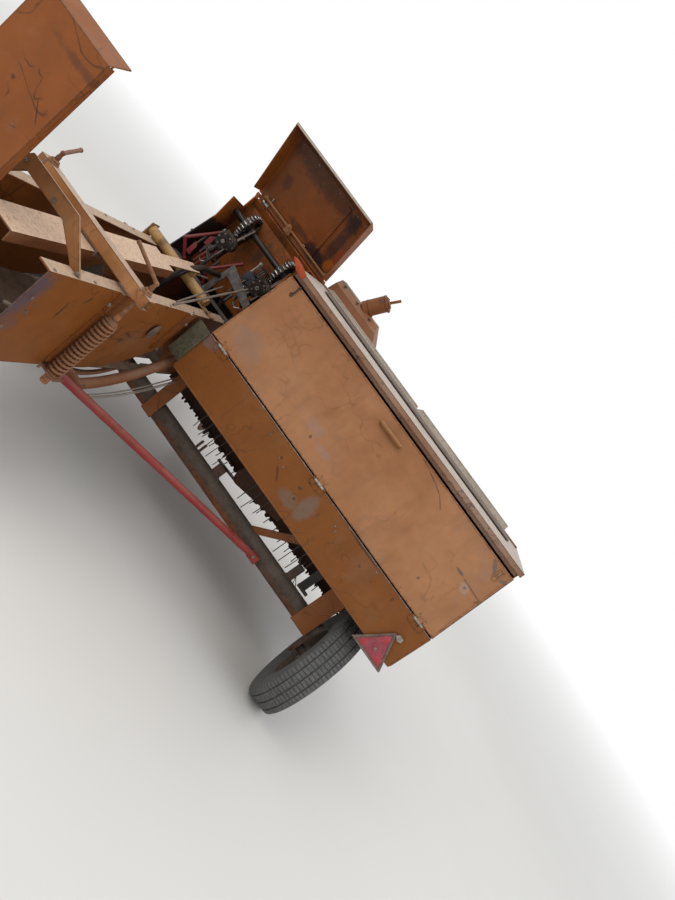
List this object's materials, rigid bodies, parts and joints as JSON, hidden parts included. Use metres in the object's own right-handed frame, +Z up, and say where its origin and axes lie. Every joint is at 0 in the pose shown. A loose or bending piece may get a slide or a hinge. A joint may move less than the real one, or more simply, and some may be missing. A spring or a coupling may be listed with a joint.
{
  "type": "small square baler",
  "caption": "Towed pickup baler for small square bales: open bale chamber with tension rail and coil springs, twine box, knotters, tined pickup, swinging drawbar on a jack.",
  "frame": {"origin": "on the ground under the middle of the whole machine", "axes": "+X to the machine's right, +Y in the direction of travel, +Z up"},
  "size_m": [2.632, 4.8672, 1.8482],
  "materials": {
    "orange_paint": "faded orange machine paint, scratched and dusty",
    "faded_paint": "sun-bleached orange paint with rust at the edges",
    "rusty_steel": "bare steel, rusted and polished by hay",
    "greasy_iron": "black greasy castings and shafts",
    "red_paint": "worn red paint",
    "yellow_paint": "worn yellow paint",
    "rim_paint": "dusty grey wheel paint",
    "tyre_rubber": "dusty worn rubber",
    "reflector_red": "red reflector plastic, faded"
  },
  "bodies": {
    "chassis": {"chamber_right_wall": "orange_paint", "chamber_left_wall": "orange_paint", "chamber_floor": "rusty_steel", "chamber_top_plate": "orange_paint", "tension_rail": "rusty_steel", "density_beam": "rusty_steel", "beam_shoe": "rusty_steel", "density_screws": "rusty_steel", "density_springs": "rusty_steel", "tie_arch": "orange_paint", "plunger": "greasy_iron", "crank_case": "orange_paint", "knotter_frame": "greasy_iron", "knotter_shaft": "greasy_iron", "knotters": "greasy_iron", "twine_guides": "red_paint", "cross_tube": "yellow_paint", "needle_yoke": "rusty_steel", "box_left_side": "orange_paint", "box_right_side": "orange_paint", "box_floor": "rusty_steel", "box_front_wall": "orange_paint", "box_rear_panel": "orange_paint", "box_top": "faded_paint", "box_front_cover": "orange_paint", "feeder_housing": "orange_paint", "feeder_tines": "greasy_iron", "feeder_deck": "rusty_steel", "cross_beam": "orange_paint", "axle_tube": "rusty_steel", "axle_posts": "orange_paint", "red_stay": "red_paint", "reflector": "reflector_red"},
    "right_wheel": {"right_tyre": "tyre_rubber", "right_rim": "rim_paint"},
    "left_wheel": {"left_tyre": "tyre_rubber", "left_rim": "rim_paint"},
    "twine_door": {"twine_door": "faded_paint"},
    "knotter_cover": {"knotter_cover": "orange_paint"},
    "drawbar": {"drawbar": "orange_paint", "jack": "greasy_iron"},
    "pickup": {"pickup_sides": "orange_paint", "pickup_bands": "faded_paint", "wind_guard": "greasy_iron"},
    "pickup_reel": {"pickup_reel": "greasy_iron"},
    "gauge_wheel": {"gauge_wheel": "tyre_rubber"},
    "flywheel": {"flywheel": "greasy_iron"},
    "bale_chute": {"bale_chute": "orange_paint"}
  },
  "joints": [
    {"name": "right_wheel_spin", "type": "hinge", "parent": "chassis", "child": "right_wheel", "pos_m": [1.126, -1.01967, 0.32], "axis": [1, 0, 0], "continuous": true},
    {"name": "left_wheel_spin", "type": "hinge", "parent": "chassis", "child": "left_wheel", "pos_m": [-1.236, -1.01967, 0.32], "axis": [1, 0, 0], "continuous": true},
    {"name": "door_hinge", "type": "hinge", "parent": "chassis", "child": "twine_door", "pos_m": [0.448, -1.24967, 0.955], "axis": [1, 0, 0], "range_deg": [0, 160]},
    {"name": "cover_hinge", "type": "hinge", "parent": "chassis", "child": "knotter_cover", "pos_m": [-0.724, -0.62967, 1.465], "axis": [1, 0, 0], "range_deg": [0, 60]},
    {"name": "drawbar_swing", "type": "hinge", "parent": "chassis", "child": "drawbar", "pos_m": [-0.734, 0.66033, 0.338], "axis": [0, 0, 1], "range_deg": [0, 48]},
    {"name": "pickup_lift", "type": "hinge", "parent": "chassis", "child": "pickup", "pos_m": [0.446, -0.38167, 0.6], "axis": [1, 0, 0], "range_deg": [-20, 0]},
    {"name": "reel_spin", "type": "hinge", "parent": "pickup", "child": "pickup_reel", "pos_m": [0.446, -0.03467, 0.43], "axis": [1, 0, 0], "continuous": true},
    {"name": "gauge_wheel_spin", "type": "hinge", "parent": "pickup", "child": "gauge_wheel", "pos_m": [1.272, -0.05467, 0.23], "axis": [1, 0, 0], "continuous": true},
    {"name": "flywheel_spin", "type": "hinge", "parent": "chassis", "child": "flywheel", "pos_m": [-0.774, 0.74033, 0.88], "axis": [0, 1, 0], "continuous": true},
    {"name": "chute_hinge", "type": "hinge", "parent": "chassis", "child": "bale_chute", "pos_m": [-0.9805, -2.40967, 0.507], "axis": [1, 0, 0], "range_deg": [0, 95]}
  ]
}
